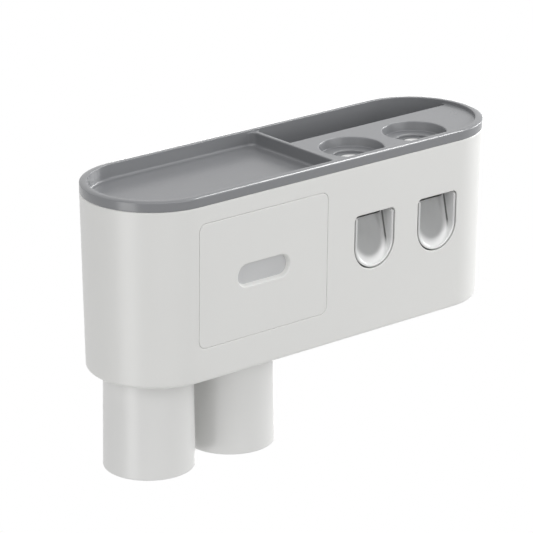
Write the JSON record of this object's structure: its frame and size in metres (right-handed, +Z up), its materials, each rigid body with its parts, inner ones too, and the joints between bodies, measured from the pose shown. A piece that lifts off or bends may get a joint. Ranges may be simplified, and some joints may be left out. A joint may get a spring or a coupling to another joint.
{
  "type": "wall-hung toothpaste dispenser",
  "caption": "Obround wall-hung toothpaste dispenser with press scoops under inverted tube seats, a drawer, a storage tray, a phone slot and magnetic cups hung below.",
  "frame": {"origin": "on the wall, at the middle of the adhesive pad's back face, behind the middle of the body", "axes": "+X along the wall to the right as seen from the front, +Y into the wall, +Z up"},
  "size_m": [0.299, 0.0944, 0.1833],
  "materials": {
    "white_shell": "fine satin",
    "grey_tray": "fine satin",
    "inner_plastic": "plain moulded",
    "runner_plastic": "slick",
    "clear_plastic": "clear and glossy",
    "cup_plastic": "satin",
    "silicone": "matt silicone",
    "steel": "turned",
    "magnet": "nickel plated",
    "adhesive": "foam tape",
    "grey_rubber": "matt"
  },
  "bodies": {
    "wall": {"wall_plate": "inner_plastic", "adhesive_pad": "adhesive"},
    "housing": {"housing": "white_shell", "top_tray": "grey_tray", "drawer_bay": "inner_plastic", "runner_left": "runner_plastic", "runner_right": "runner_plastic", "pump_screws": "steel", "inlet_seal_left": "silicone", "pump_body_left": "inner_plastic", "pump_bulb_left": "silicone", "outlet_valve_left": "silicone", "hinge_pin_left": "steel", "magnet_left": "magnet", "magnet_cap_left": "inner_plastic", "wall_bumper_left": "grey_rubber", "inlet_seal_right": "silicone", "pump_body_right": "inner_plastic", "pump_bulb_right": "silicone", "outlet_valve_right": "silicone", "hinge_pin_right": "steel", "magnet_right": "magnet", "magnet_cap_right": "inner_plastic", "wall_bumper_right": "grey_rubber"},
    "drawer": {"drawer_front": "white_shell", "drawer_box": "inner_plastic"},
    "left_scoop": {"push_scoop_left": "clear_plastic"},
    "right_scoop": {"push_scoop_right": "clear_plastic"},
    "left_cup": {"cup_left": "cup_plastic", "cup_disc_left": "steel"},
    "right_cup": {"cup_right": "cup_plastic", "cup_disc_right": "steel"}
  },
  "joints": [
    {"name": "housing_lift", "type": "slide", "parent": "wall", "child": "housing", "axis": [0, 0, 1], "range_m": [0, 0.014]},
    {"name": "drawer_slide", "type": "slide", "parent": "housing", "child": "drawer", "axis": [0, -1, 0], "range_m": [0, 0.06]},
    {"name": "left_scoop_hinge", "type": "hinge", "parent": "housing", "child": "left_scoop", "pos_m": [0.0341, -0.0876, 0.025], "axis": [1, 0, 0], "range_deg": [0, 12], "stiffness_Nm_per_rad": 0.5, "springref_deg": -3.44, "deforming": ["pump_bulb_left"]},
    {"name": "right_scoop_hinge", "type": "hinge", "parent": "housing", "child": "right_scoop", "pos_m": [0.0867, -0.0876, 0.025], "axis": [1, 0, 0], "range_deg": [0, 12], "stiffness_Nm_per_rad": 0.5, "springref_deg": -3.44, "deforming": ["pump_bulb_right"]},
    {"name": "left_cup_pull", "type": "slide", "parent": "housing", "child": "left_cup", "axis": [0, 0, -1], "range_m": [0, 0.03]},
    {"name": "right_cup_pull", "type": "slide", "parent": "housing", "child": "right_cup", "axis": [0, 0, -1], "range_m": [0, 0.03]}
  ]
}
